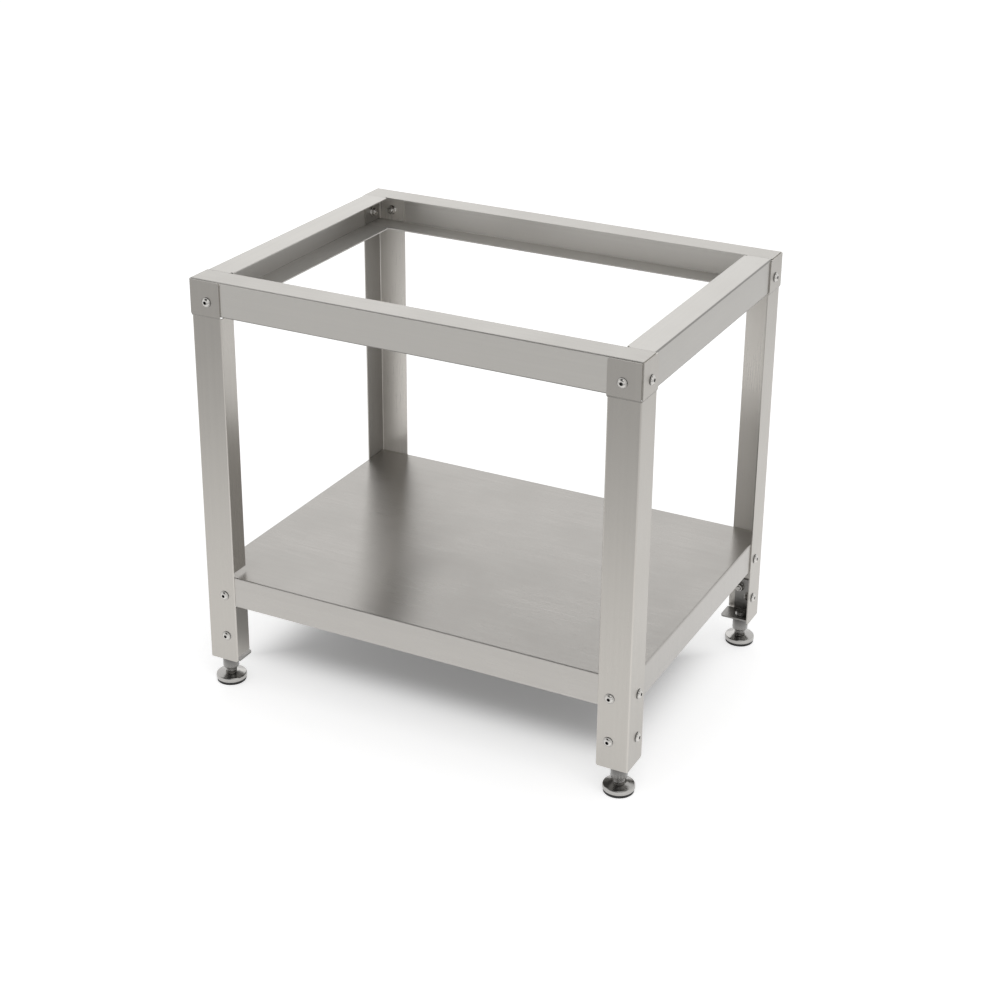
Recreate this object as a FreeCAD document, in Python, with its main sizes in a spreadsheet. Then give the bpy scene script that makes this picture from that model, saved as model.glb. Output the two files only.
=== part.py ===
import FreeCAD, Part
import math
import os
import re
import Sketcher

# Stainless steel stand for an outdoor pizza oven, in millimetres.
# The origin is on the floor under the middle of the table: +X right, +Y back, +Z up.
# Each corner piece is drawn in the frame of its corner: +X and +Y run inward from the
# outermost faces of the table, and that frame is turned by quarter turns to reach the others.

SIZES = {
    "table_width": 800,
    "table_depth": 600,
    "table_height": 750,
    "foot_height": 52,
    # folded sheet
    "leg_sheet": 2,
    "rail_sheet": 2,
    "angle_sheet": 2,
    "bracket_sheet": 3,
    "shelf_sheet": 1.5,
    "bend_radius": 1,
    "seat_gap": 0.1,
    # top frame
    "rail_height": 60,
    "rail_flange": 48,
    "rail_seam": 0.4,
    "relief_notch": 4,
    # legs
    "leg_flange": 56,
    "leg_corner_cut": 3,
    "return_depth": 36,
    "return_lift": 10,
    "shelf_slot_above": 9,
    "shelf_slot_below": 3,
    "tab_slit": 0.6,
    "tab_drop": 1.5,
    "tab_radius": 5,
    "joggle_height": 3.5,
    # undershelf, measured up from the leg bottoms
    "shelf_level": 165,
    "shelf_flange": 55,
    "shelf_corner_relief": 4,
    "stiffener_height": 25,
    "stiffener_crown": 40,
    "stiffener_brim": 15,
    "stiffener_end_gap": 22,
    # foot brackets
    "bracket_height": 64,
    "bracket_overhang": 0.5,
    "bracket_margin": 9,
    "bracket_relief": 4,
    "bracket_radius": 6,
    "bracket_clearance": 1,
    # bolts and nuts
    "top_bolt_inset": 33,
    "top_bolt_drop": 37,
    "low_bolt_inset": 37,
    "shelf_bolt_level": 127,
    "bracket_bolt_level": 48,
    "bolt_diameter": 8,
    "bolt_hole": 8.8,
    "bolt_seat": 17,
    "bolt_flat": 8,
    "bolt_head_height": 4.6,
    "nut_key": 13,
    "nut_height": 8,
    "thread_overrun": 1.5,
    # levelling feet
    "foot_inset": 26,
    "stem_diameter": 20,
    "thread_clearance": 0.1,
    "stem_overrun": 5,
    "boss_diameter": 28,
    "boss_length": 25,
    "disc_diameter": 54,
    "hub_diameter": 24,
    "pad_diameter": 51,
    "pad_height": 4.5,
    "rim_height": 9,
    "cone_height": 4.5,
    "spigot_diameter": 12,
    "spigot_length": 8,
    "edge_chamfer": 1,
}

# Formulas that several pieces share.
LEG_INSIDE = "(2 * leg_sheet)"
LEG_EDGE = "(leg_sheet + leg_flange)"
LEG_LENGTH = "(table_height - foot_height)"
RAIL_EDGE = "(leg_sheet + rail_flange)"
RAIL_INSIDE = "(leg_sheet + rail_sheet)"
JOGGLE_END = f"({LEG_LENGTH} - rail_height - seat_gap)"
JOGGLE_START = f"({JOGGLE_END} - joggle_height)"
RETURN_INSIDE = f"({LEG_EDGE} - leg_sheet)"
NEST = f"({LEG_INSIDE} + seat_gap)"
ANGLE_SEAT = f"({RAIL_INSIDE} + seat_gap)"
EAR_END = "(low_bolt_inset + bracket_margin)"
BASE_TOP = "(pad_height + rim_height + cone_height)"

# The corners of the table: side along X, side along Y, quarter turns from the front left.
CORNERS = {
    "front_left": (-1, -1, 0),
    "front_right": (1, -1, 1),
    "rear_right": (1, 1, 2),
    "rear_left": (-1, 1, 3),
}
X, Y, Z = 0, 1, 2
Z_AXIS = FreeCAD.Vector(0, 0, 1)
UPRIGHT_PLANES = ("XZ_Plane", "YZ_Plane")
# Which way a sketch's normal points along its plane's axis.
NORMAL_SIGN = {"XY_Plane": 1, "XZ_Plane": -1, "YZ_Plane": 1}
CLOSE = 1e-3

doc = FreeCAD.newDocument("pizza_oven_table")
pieces = []


def fill_sheet():
    """Writes every driving dimension into the sheet, with its name as the alias."""
    table = doc.addObject("Spreadsheet::Sheet", "sizes")
    for row, (name, size) in enumerate(SIZES.items(), start=1):
        table.set(f"A{row}", name)
        table.set(f"B{row}", str(size))
        table.setAlias(f"B{row}", name)
    doc.recompute()
    return table


sheet = fill_sheet()


def bound(formula):
    """Turns a formula in the sheet's names into an expression on the sheet."""
    return re.sub(r"[a-z]\w+", lambda word: f"sizes.{word.group()}", formula)


def size(formula):
    """Works a formula out with the sheet's present values."""
    return float(sheet.evalExpression(bound(formula)))


def new_body(label):
    """Starts a folded or turned piece and puts it on the list of pieces."""
    body = doc.addObject("PartDesign::Body", label)
    body.Label = label
    pieces.append(body)
    return body


def sketch_on(body, plane, name, at=None):
    """Puts a sketch on one of the body's own planes, or moved along the plane's axis."""
    sketch = body.newObject("Sketcher::SketchObject", name)
    support = next(p for p in body.Origin.OriginFeatures if p.Role == plane)
    sketch.AttachmentSupport = [(support, "")]
    sketch.MapMode = "FlatFace"
    if at:
        sketch.setExpression("AttachmentOffset.Base.z", bound(f"{NORMAL_SIGN[plane]} * ({at})"))
    return sketch


def points_along_axis(sketch):
    """Tells whether a sketch's normal points along its axis, and not against it."""
    return NORMAL_SIGN[sketch.AttachmentSupport[0][0].Role] > 0


def pin_point(sketch, shape, end, across, up):
    """Fixes one point of a shape at a place given by two formulas."""
    for kind, formula in (("DistanceX", across), ("DistanceY", up)):
        rule = Sketcher.Constraint(kind, -1, 1, shape, end, size(formula))
        number = sketch.addConstraint(rule)
        sketch.setExpression(f"Constraints[{number}]", bound(formula))


def outline(sketch, corners):
    """Draws a closed outline of straight lines through corners given as formulas."""
    spots = [FreeCAD.Vector(size(a), size(b), 0) for a, b in corners]
    first = sketch.GeometryCount
    count = len(corners)
    for i in range(count):
        sketch.addGeometry(Part.LineSegment(spots[i], spots[(i + 1) % count]), False)
    for i in range(count):
        following = first + (i + 1) % count
        sketch.addConstraint(Sketcher.Constraint("Coincident", first + i, 2, following, 1))
    for i, (a, b) in enumerate(corners):
        pin_point(sketch, first + i, 1, a, b)


def rectangle(sketch, left, low, right, high):
    """Draws a rectangle between two opposite corners."""
    outline(sketch, [(left, low), (right, low), (right, high), (left, high)])


def circle(sketch, across, up, diameter):
    """Draws a circle of a given diameter about a point."""
    middle = FreeCAD.Vector(size(across), size(up), 0)
    ring = Part.Circle(middle, FreeCAD.Vector(0, 0, 1), size(diameter) / 2)
    shape = sketch.addGeometry(ring, False)
    pin_point(sketch, shape, 3, across, up)
    number = sketch.addConstraint(Sketcher.Constraint("Diameter", shape, size(diameter)))
    sketch.setExpression(f"Constraints[{number}]", bound(diameter))


def pad(body, sketch, length, towards=1, both_ways=False):
    """Pads a sketch by a length, towards the plus or the minus end of its axis."""
    feature = body.newObject("PartDesign::Pad", "Pad_" + sketch.Name)
    feature.Profile = sketch
    feature.setExpression("Length", bound(length))
    feature.Reversed = points_along_axis(sketch) != (towards > 0)
    if both_ways:
        feature.SideType = "Symmetric"
    doc.recompute()


def pocket(body, sketch, length=None, towards=1):
    """Cuts a sketch to a length or right through, and checks that it removed something."""
    before = body.Shape.Volume
    feature = body.newObject("PartDesign::Pocket", "Pocket_" + sketch.Name)
    feature.Profile = sketch
    if length:
        feature.setExpression("Length", bound(length))
    else:
        feature.Type = "ThroughAll"
    feature.Reversed = points_along_axis(sketch) == (towards > 0)
    doc.recompute()
    if not body.Shape.Volume < before - CLOSE:
        raise ValueError(f"{body.Label}: {feature.Name} cuts nothing")


def revolve(body, sketch):
    """Turns a half section, drawn on the XZ plane, about the Z axis."""
    feature = body.newObject("PartDesign::Revolution", "Turned_" + sketch.Name)
    feature.Profile = sketch
    feature.ReferenceAxis = (sketch, ["V_Axis"])
    feature.Angle = 360
    doc.recompute()


def straight_edges(shape, axis, place):
    """Names the straight edges along an axis that lie at a place on the other two axes."""
    others = [i for i in (X, Y, Z) if i != axis]
    names = []
    for number, edge in enumerate(shape.Edges, start=1):
        ends = [vertex.Point for vertex in edge.Vertexes]
        gaps = [abs(end[i] - spot) for end in ends for i, spot in zip(others, place)]
        if max(gaps) < CLOSE and isinstance(edge.Curve, Part.Line):
            names.append(f"Edge{number}")
    return names


def round_edges(body, edges, radius):
    """Rounds edges, each given by its axis and by formulas for its place on the other two."""
    tip = body.Tip
    names = []
    for axis, a, b in edges:
        found = straight_edges(tip.Shape, axis, (size(a), size(b)))
        if not found:
            raise ValueError(f"{body.Label}: no edge at {a}, {b}")
        names += found
    feature = body.newObject("PartDesign::Fillet", f"Round_{tip.Name}")
    feature.Base = (tip, names)
    feature.setExpression("Radius", bound(radius))
    doc.recompute()


def place(body, x, y, z, turns=0):
    """Places a piece by formulas, turned about the vertical by quarter turns."""
    turned = FreeCAD.Rotation(Z_AXIS, 90 * turns)
    body.Placement = FreeCAD.Placement(FreeCAD.Vector(0, 0, 0), turned)
    for direction, formula in (("x", x), ("y", y), ("z", z)):
        body.setExpression(f"Placement.Base.{direction}", bound(formula))
    doc.recompute()


def place_at_corner(body, corner, level):
    """Places a piece drawn in its corner's frame."""
    side_x, side_y, turns = CORNERS[corner]
    place(body, f"{side_x} * table_width / 2", f"{side_y} * table_depth / 2", level, turns)


# Top frame: four C-section rails. A rail is drawn along X with its web at Y = 0, its
# flanges towards +Y and its top at Z = 0.


def c_section(body, length):
    """Folds a rail's web, top flange and bottom flange."""
    section = sketch_on(body, "YZ_Plane", "Section")
    low = "-rail_height"
    corners = [("0", "0"), ("rail_flange", "0")]
    corners += [("rail_flange", "-rail_sheet"), ("rail_sheet", "-rail_sheet")]
    corners += [("rail_sheet", "rail_sheet - rail_height")]
    corners += [("rail_flange", "rail_sheet - rail_height")]
    corners += [("rail_flange", low), ("0", low)]
    outline(section, corners)
    pad(body, section, length, both_ways=True)
    outer = [(X, "0", "0"), (X, "0", low)]
    inner = [(X, "rail_sheet", "-rail_sheet"), (X, "rail_sheet", "rail_sheet - rail_height")]
    round_edges(body, outer, "bend_radius + rail_sheet")
    round_edges(body, inner, "bend_radius")


def rail_bolt_holes(body, span):
    """Drills one hole through the web near each end."""
    holes = sketch_on(body, "XZ_Plane", "BoltHoles")
    for side in (-1, 1):
        circle(holes, f"{side} * ({span} / 2 - top_bolt_inset)", "-top_bolt_drop", "bolt_hole")
    pocket(body, holes, "2 * rail_sheet")


def long_rail(label, side_y, turns):
    """Makes the front or rear rail, which runs the full width."""
    body = new_body(label)
    c_section(body, "table_width - 2 * leg_sheet")
    rail_bolt_holes(body, "table_width")
    place(body, "0", f"{side_y} * (table_depth / 2 - leg_sheet)", "table_height", turns)


def short_rail(label, side_x, turns):
    """Makes the left or right rail, whose flanges butt against the long rails' flanges."""
    body = new_body(label)
    flange_end = f"(table_depth / 2 - {RAIL_EDGE} - rail_seam)"
    web_end = f"(table_depth / 2 - {RAIL_INSIDE} - bend_radius)"
    past = "(table_depth / 2)"
    c_section(body, f"2 * {web_end}")

    flange_ends = sketch_on(body, "XY_Plane", "FlangeEnds")
    web_ends = sketch_on(body, "XZ_Plane", "WebEnds")
    notches = sketch_on(body, "XY_Plane", "ReliefNotches")
    for side in (-1, 1):
        inner, outer = f"{side} * {flange_end}", f"{side} * {past}"
        rectangle(flange_ends, inner, "rail_sheet", outer, "2 * rail_flange")
        top = "-(rail_sheet + rail_seam)"
        rectangle(web_ends, inner, top, outer, "rail_sheet")
        bottom = "rail_sheet + rail_seam - rail_height"
        rectangle(web_ends, inner, "-rail_height - rail_sheet", outer, bottom)
        notch = f"{side} * ({flange_end} - relief_notch)"
        rectangle(notches, notch, "rail_flange - relief_notch", outer, "2 * rail_flange")
    pocket(body, flange_ends, towards=-1)
    pocket(body, web_ends)
    pocket(body, notches, towards=-1)
    rail_bolt_holes(body, "table_depth")
    place(body, f"{side_x} * (table_width / 2 - leg_sheet)", "0", "table_height", turns)


# Legs: drawn in the corner's frame with Z = 0 at the leg's bottom. Below the rails the
# outer faces lie one sheet in, and each flange ends in a tab joggled out over its rail.


def leg_section(body, channel, swapped):
    """Folds the lower leg, an angle or a channel, up to the start of the joggle."""
    section = sketch_on(body, "XY_Plane", "Section")
    out, inside, edge = "leg_sheet", LEG_INSIDE, LEG_EDGE
    corners = [(out, out), (edge, out)]
    if channel:
        back = "leg_sheet + return_depth"
        corners += [(edge, back), (RETURN_INSIDE, back), (RETURN_INSIDE, inside)]
    else:
        corners += [(edge, inside)]
    corners += [(inside, inside), (inside, edge), (out, edge)]
    outer, inner = [(out, out)], [(inside, inside)]
    if channel:
        outer.append((edge, out))
        inner.append((RETURN_INSIDE, inside))
    if swapped:
        corners, outer, inner = ([(b, a) for a, b in spots] for spots in (corners, outer, inner))
    outline(section, corners)
    pad(body, section, JOGGLE_START)
    round_edges(body, [(Z, a, b) for a, b in outer], "bend_radius + leg_sheet")
    round_edges(body, [(Z, a, b) for a, b in inner], "bend_radius")


def joggled_tab(body, plane):
    """Adds the joggle and the tab of one flange, drawn in its section on a plane."""
    top = f"({LEG_LENGTH} - tab_drop)"
    slit = "(leg_sheet + tab_slit)"
    section = sketch_on(body, plane, "Tab_" + plane, slit)
    corners = [("leg_sheet", JOGGLE_START), ("0", JOGGLE_END), ("0", top)]
    corners += [("leg_sheet", top), ("leg_sheet", JOGGLE_END), (LEG_INSIDE, JOGGLE_START)]
    outline(section, corners)
    pad(body, section, f"{LEG_EDGE} - {slit}")
    through = X if plane == "XZ_Plane" else Y
    round_edges(body, [(through, LEG_EDGE, top)], "tab_radius")


def return_windows(body, plane):
    """Cuts the channel's return away at the foot bracket and where the shelf passes."""
    side = sketch_on(body, plane, "ReturnWindows", f"{RETURN_INSIDE} - bend_radius")
    past = "(2 * leg_sheet + return_depth + bend_radius)"
    rectangle(side, LEG_INSIDE, "-leg_sheet", past, "return_lift")
    slot_low = "shelf_level - shelf_flange - shelf_slot_below"
    slot_high = "shelf_level + shelf_slot_above"
    rectangle(side, LEG_INSIDE, slot_low, past, slot_high)
    pocket(body, side, "2 * (leg_sheet + bend_radius)")


def leg_holes(body):
    """Drills the tab's hole and the two lower holes through each flange."""
    for plane in UPRIGHT_PLANES:
        holes = sketch_on(body, plane, "Holes_" + plane)
        circle(holes, "top_bolt_inset", f"{LEG_LENGTH} - top_bolt_drop", "bolt_hole")
        for level in ("shelf_bolt_level", "bracket_bolt_level"):
            circle(holes, "low_bolt_inset", level, "bolt_hole")
        pocket(body, holes, "3 * leg_sheet")


def leg_corner_cuts(body):
    """Cuts the free bottom corner of each flange at 45 degrees."""
    inner, past = f"{LEG_EDGE} - leg_corner_cut", f"{LEG_EDGE} + leg_sheet"
    for plane in UPRIGHT_PLANES:
        cut = sketch_on(body, plane, "CornerCut_" + plane)
        corners = [(inner, "0"), (inner, "-leg_sheet"), (past, "-leg_sheet")]
        corners += [(past, "leg_corner_cut"), (LEG_EDGE, "leg_corner_cut")]
        outline(cut, corners)
        pocket(body, cut, "3 * leg_sheet")


def leg(corner):
    """Makes one leg: a channel at the front, an angle at the rear."""
    body = new_body("leg_" + corner)
    channel = corner.startswith("front")
    # The return stands at the inner end of the wall that faces the front.
    swapped = corner == "front_right"
    leg_section(body, channel, swapped)
    if channel:
        return_windows(body, "XZ_Plane" if swapped else "YZ_Plane")
    for plane in UPRIGHT_PLANES:
        joggled_tab(body, plane)
    leg_holes(body)
    leg_corner_cuts(body)
    place_at_corner(body, corner, "foot_height")


def corner_angle(corner):
    """Makes the bent backing angle inside one corner of the top frame."""
    body = new_body("corner_angle_" + corner)
    seat, back = ANGLE_SEAT, f"({ANGLE_SEAT} + angle_sheet)"
    drop = "(rail_sheet + bend_radius)"
    section = sketch_on(body, "XY_Plane", "Section", f"-{drop}")
    corners = [(seat, seat), (LEG_EDGE, seat), (LEG_EDGE, back)]
    corners += [(back, back), (back, LEG_EDGE), (seat, LEG_EDGE)]
    outline(section, corners)
    pad(body, section, f"rail_height - 2 * {drop}", towards=-1)
    round_edges(body, [(Z, seat, seat)], "bend_radius + angle_sheet")
    round_edges(body, [(Z, back, back)], "bend_radius")
    for plane in UPRIGHT_PLANES:
        hole = sketch_on(body, plane, "Hole_" + plane)
        circle(hole, "top_bolt_inset", "-top_bolt_drop", "bolt_hole")
        pocket(body, hole, f"{back} + angle_sheet")
    place_at_corner(body, corner, "table_height")


# Undershelf: a tray with its top at Z = 0, nested inside the four legs.

SHELF_HALF_X = f"(table_width / 2 - {NEST})"
SHELF_HALF_Y = f"(table_depth / 2 - {NEST})"


def tray_rectangle(sketch, inset):
    """Draws the tray's outline, drawn in on every side."""
    half_x, half_y = f"({SHELF_HALF_X} - {inset})", f"({SHELF_HALF_Y} - {inset})"
    rectangle(sketch, f"-{half_x}", f"-{half_y}", half_x, half_y)


def tray_bends(body, inset, level, radius):
    """Rounds the bends that run round the tray, or round its cavity, at a level."""
    half_x, half_y = f"({SHELF_HALF_X} - {inset})", f"({SHELF_HALF_Y} - {inset})"
    bends = [(X, f"{side} * {half_y}", level) for side in (-1, 1)]
    bends += [(Y, f"{side} * {half_x}", level) for side in (-1, 1)]
    round_edges(body, bends, radius)


def cut_corners(body):
    """Cuts the four corners square away, so that the flanges end short of each other."""
    reliefs = sketch_on(body, "XY_Plane", "Corners")
    half_x = f"({SHELF_HALF_X} - shelf_corner_relief)"
    half_y = f"({SHELF_HALF_Y} - shelf_corner_relief)"
    for a in (-1, 1):
        for b in (-1, 1):
            near = (f"{a} * {half_x}", f"{b} * {half_y}")
            rectangle(reliefs, *near, f"{a} * table_width / 2", f"{b} * table_depth / 2")
    pocket(body, reliefs, towards=-1)


def undershelf():
    """Folds the tray: its top and four flanges."""
    body = new_body("undershelf")
    block = sketch_on(body, "XY_Plane", "Block")
    tray_rectangle(block, "0")
    pad(body, block, "shelf_flange", towards=-1)
    cut_corners(body)
    tray_bends(body, "0", "0", "bend_radius + shelf_sheet")

    cavity = sketch_on(body, "XY_Plane", "Cavity", "-shelf_flange")
    tray_rectangle(cavity, "shelf_sheet")
    pocket(body, cavity, "shelf_flange - shelf_sheet")
    tray_bends(body, "shelf_sheet", "-shelf_sheet", "bend_radius")
    shelf_holes(body)
    place(body, "0", "0", "foot_height + shelf_level")


def shelf_holes(body):
    """Drills the flanges where the legs are bolted on."""
    level = "shelf_bolt_level - shelf_level"
    for plane, along, across in (
        ("XZ_Plane", "table_width", "table_depth"),
        ("YZ_Plane", "table_depth", "table_width"),
    ):
        for side in (-1, 1):
            holes = sketch_on(body, plane, f"Holes_{plane}_{side + 1}", f"{side} * {across} / 2")
            for end in (-1, 1):
                circle(holes, f"{end} * ({along} / 2 - low_bolt_inset)", level, "bolt_hole")
            pocket(body, holes, f"{NEST} + 2 * shelf_sheet", towards=-side)


def shelf_stiffener():
    """Folds the hat section under the middle of the tray, running along the width."""
    body = new_body("shelf_stiffener")
    section = sketch_on(body, "YZ_Plane", "Section")
    crown, wall = "(stiffener_crown / 2)", "shelf_sheet"
    brim = f"({crown} + stiffener_brim)"
    inner = f"({crown} - {wall})"
    below = [(brim, "0"), (brim, f"-{wall}"), (crown, f"-{wall}"), (crown, "-stiffener_height")]
    above = [(inner, f"{wall} - stiffener_height"), (inner, "0")]
    corners = below + [(f"-{a}", b) for a, b in reversed(below)]
    corners += [(f"-{a}", b) for a, b in reversed(above)] + above
    outline(section, corners)
    length = f"2 * ({SHELF_HALF_X} - shelf_sheet - stiffener_end_gap)"
    pad(body, section, length, both_ways=True)
    for sign in ("", "-"):
        hollow = [(X, sign + crown, f"-{wall}"), (X, sign + inner, f"{wall} - stiffener_height")]
        proud = [(X, sign + inner, "0"), (X, sign + crown, "-stiffener_height")]
        round_edges(body, hollow, "bend_radius")
        round_edges(body, proud, "bend_radius + shelf_sheet")
    place(body, "0", "0", "foot_height + shelf_level - shelf_sheet - seat_gap")


# Foot bracket: a base plate with two ears bent up inside the leg, in the corner's frame.
# The plate is as wide as the leg along the table's width and as deep as its ears.


def bracket_ear(body, plane):
    """Adds one ear with the strip of plate that it bends up from, drawn in its section."""
    seat, back = NEST, f"({NEST} + bracket_sheet)"
    start = f"({back} + bracket_relief)"
    section = sketch_on(body, plane, "Ear_" + plane, start)
    corners = [(seat, "0"), ("foot_inset", "0"), ("foot_inset", "bracket_sheet")]
    corners += [(back, "bracket_sheet"), (back, "bracket_height"), (seat, "bracket_height")]
    outline(section, corners)
    pad(body, section, f"{EAR_END} - {start}")
    along, through = (Y, X) if plane == "XZ_Plane" else (X, Y)
    round_edges(body, [(along, seat, "0")], "bend_radius + bracket_sheet")
    round_edges(body, [(along, back, "bracket_sheet")], "bend_radius")
    round_edges(body, [(through, EAR_END, "bracket_height")], "bracket_radius")


def foot_bracket(corner):
    """Bends one foot bracket."""
    body = new_body("foot_bracket_" + corner)
    plate = sketch_on(body, "XY_Plane", "Plate")
    near, width = f"({NEST} + bracket_sheet + bend_radius)", f"({LEG_EDGE} + bracket_overhang)"
    _, _, turns = CORNERS[corner]
    far = (EAR_END, width) if turns % 2 else (width, EAR_END)
    rectangle(plate, near, near, *far)
    pad(body, plate, "bracket_sheet")
    round_edges(body, [(Z, *far)], "bracket_radius")
    for plane in UPRIGHT_PLANES:
        bracket_ear(body, plane)
    hole = sketch_on(body, "XY_Plane", "StemHole")
    circle(hole, "foot_inset", "foot_inset", "stem_diameter + bracket_clearance")
    pocket(body, hole, "2 * bracket_sheet")
    for plane in UPRIGHT_PLANES:
        ear_hole = sketch_on(body, plane, "Hole_" + plane)
        circle(ear_hole, "low_bolt_inset", "bracket_bolt_level", "bolt_hole")
        pocket(body, ear_hole, f"{NEST} + 2 * bracket_sheet")
    place_at_corner(body, corner, "foot_height")


# Levelling feet: turned pieces about the foot's axis, with Z = 0 on the floor.


def turned(label, corner, half_section):
    """Turns a piece from its half section and stands it on the foot's axis."""
    body = new_body(f"{label}_{corner}")
    section = sketch_on(body, "XZ_Plane", "HalfSection")
    outline(section, half_section)
    revolve(body, section)
    side_x, side_y, _ = CORNERS[corner]
    x = f"{side_x} * (table_width / 2 - foot_inset)"
    place(body, x, f"{side_y} * (table_depth / 2 - foot_inset)", "0")


def foot_boss(corner):
    """Turns the threaded boss that is welded under the bracket."""
    bore, outer = "(stem_diameter / 2 + thread_clearance)", "(boss_diameter / 2)"
    low, high = "(foot_height - boss_length)", "foot_height"
    turned(
        "foot_boss",
        corner,
        [(bore, low), (outer, low), (outer, high), (bore, high)],
    )


def foot_stem(corner):
    """Turns the threaded stem with the spigot that turns in the base."""
    radius, spigot = "(stem_diameter / 2)", "(spigot_diameter / 2)"
    top = "(foot_height + bracket_sheet + stem_overrun)"
    turned(
        "foot_stem",
        corner,
        [
            ("0", f"{BASE_TOP} - spigot_length"),
            (spigot, f"{BASE_TOP} - spigot_length"),
            (spigot, BASE_TOP),
            (radius, BASE_TOP),
            (radius, f"{top} - edge_chamfer"),
            (f"{radius} - edge_chamfer", top),
            ("0", top),
        ],
    )


def foot_base(corner):
    """Turns the conical disc with the socket for the spigot."""
    rim, hub = "(disc_diameter / 2)", "(hub_diameter / 2)"
    bore = "(spigot_diameter / 2 + thread_clearance)"
    rim_top = "(pad_height + rim_height)"
    socket = f"{BASE_TOP} - spigot_length - 2 * thread_clearance"
    turned(
        "foot_base",
        corner,
        [
            ("0", "pad_height"),
            (rim, "pad_height"),
            (rim, rim_top),
            (hub, BASE_TOP),
            (bore, BASE_TOP),
            (bore, socket),
            ("0", socket),
        ],
    )


def foot_pad(corner):
    """Turns the rubber pad under the base."""
    outer = "(pad_diameter / 2)"
    turned(
        "foot_pad",
        corner,
        [("0", "0"), (outer, "0"), (outer, "pad_height"), ("0", "pad_height")],
    )


# Bolts and nuts: each group is one node of separate solids. A bolt is drawn with its head
# seat at Z = 0 and its shank towards +Z, and a nut stands on Z = 0. There are many, so their
# round forms have few sides.

ROUND_SIDES = 12
HEXAGON_SIDES = 6


def polygon(radius, height, sides):
    """Lists the corners of a regular polygon about the Z axis, the first one again at the end."""
    turns = [2 * math.pi * side / sides for side in range(sides + 1)]
    return [FreeCAD.Vector(radius * math.cos(a), radius * math.sin(a), height) for a in turns]


def face(corners):
    """Makes a flat face from its corners."""
    return Part.Face(Part.makePolygon(corners))


def prism(radius, length, sides):
    """Raises a polygon from Z = 0."""
    return face(polygon(radius, 0, sides)).extrude(FreeCAD.Vector(0, 0, length))


def bolt_head():
    """Makes a button head as a flat-sided cone under the seat's level."""
    flat = polygon(size("bolt_flat / 2"), -size("bolt_head_height"), ROUND_SIDES)
    seat = polygon(size("bolt_seat / 2"), 0, ROUND_SIDES)
    sides = [
        face([flat[i], flat[i + 1], seat[i + 1], seat[i], flat[i]]) for i in range(ROUND_SIDES)
    ]
    return Part.Solid(Part.Shell([face(flat), face(seat), *sides]))


def bolt_shape(grip):
    """Makes a button-head bolt for a given grip."""
    length = grip + size("nut_height + thread_overrun")
    return bolt_head().fuse(prism(size("bolt_diameter / 2"), length, ROUND_SIDES))


def nut_shape():
    """Makes a hexagon nut."""
    height = size("nut_height")
    bore = size("bolt_diameter / 2 + thread_clearance") / math.cos(math.pi / ROUND_SIDES)
    hexagon = prism(size("nut_key") / math.sqrt(3), height, HEXAGON_SIDES)
    return hexagon.cut(prism(bore, height, ROUND_SIDES))


def corner_frame(corner, level):
    """Gives the placement of a corner's frame at a level."""
    side_x, side_y, turns = CORNERS[corner]
    base = FreeCAD.Vector(side_x * size("table_width") / 2, side_y * size("table_depth") / 2, level)
    return FreeCAD.Placement(base, FreeCAD.Rotation(Z_AXIS, 90 * turns))


def into_faces(inset, level, depth):
    """Gives the placements, in a corner's frame, of one fastener through each flange."""
    along_y = FreeCAD.Rotation(Z_AXIS, FreeCAD.Vector(0, 1, 0))
    along_x = FreeCAD.Rotation(Z_AXIS, FreeCAD.Vector(1, 0, 0))
    return [
        FreeCAD.Placement(FreeCAD.Vector(inset, depth, level), along_y),
        FreeCAD.Placement(FreeCAD.Vector(depth, inset, level), along_x),
    ]


def fasteners(label, shape, inset, level, depth):
    """Makes one group: the same fastener through both flanges at all four corners."""
    copies = []
    for corner in CORNERS:
        frame = corner_frame(corner, size("foot_height"))
        for spot in into_faces(size(inset), size(level), size(depth)):
            copy = shape.copy()
            copy.Placement = frame.multiply(spot)
            copies.append(copy)
    group = doc.addObject("Part::Feature", label)
    group.Label = label
    group.Shape = Part.makeCompound(copies)
    pieces.append(group)


def bolted_joint(name, inset, level, head_seat, stack):
    """Makes the bolts and nuts of one joint from the sheets that they clamp."""
    grip = size(stack)
    fasteners(f"{name}_bolts", bolt_shape(grip), inset, level, head_seat)
    fasteners(f"{name}_nuts", nut_shape(), inset, level, f"{head_seat} + {stack}")


long_rail("rail_front", -1, 0)
long_rail("rail_rear", 1, 2)
short_rail("rail_left", -1, 3)
short_rail("rail_right", 1, 1)
undershelf()
shelf_stiffener()
for corner in CORNERS:
    leg(corner)
    corner_angle(corner)
    foot_bracket(corner)
    foot_boss(corner)
    foot_stem(corner)
    foot_base(corner)
    foot_pad(corner)
top_level = f"{LEG_LENGTH} - top_bolt_drop"
frame_stack = "(leg_sheet + rail_sheet + seat_gap + angle_sheet)"
bolted_joint("top_frame", "top_bolt_inset", top_level, "0", frame_stack)
shelf_stack = "(leg_sheet + seat_gap + shelf_sheet)"
bolted_joint("shelf", "low_bolt_inset", "shelf_bolt_level", "leg_sheet", shelf_stack)
bracket_stack = "(leg_sheet + seat_gap + bracket_sheet)"
bolted_joint("foot_bracket", "low_bolt_inset", "bracket_bolt_level", "leg_sheet", bracket_stack)

doc.recompute()
for item in doc.Objects:
    if "Invalid" in item.State or "Error" in item.State:
        raise ValueError(f"{item.Label} failed: {item.State}")
for piece in pieces:
    if piece.Shape.isNull() or not piece.Shape.isValid():
        raise ValueError(f"{piece.Label} has no valid shape")

os.makedirs("parts", exist_ok=True)
for piece in pieces:
    piece.Shape.exportStep(f"parts/{piece.Label}.step")
print(len(pieces), "pieces written")
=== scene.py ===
"""Looks of the stainless steel oven table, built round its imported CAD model.

The folded sheet parts are CAD nodes and get brushed finishes. The bolts, nuts and
levelling feet are meshes that stand for plainer CAD nodes. Lengths are in metres.
"""

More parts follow.
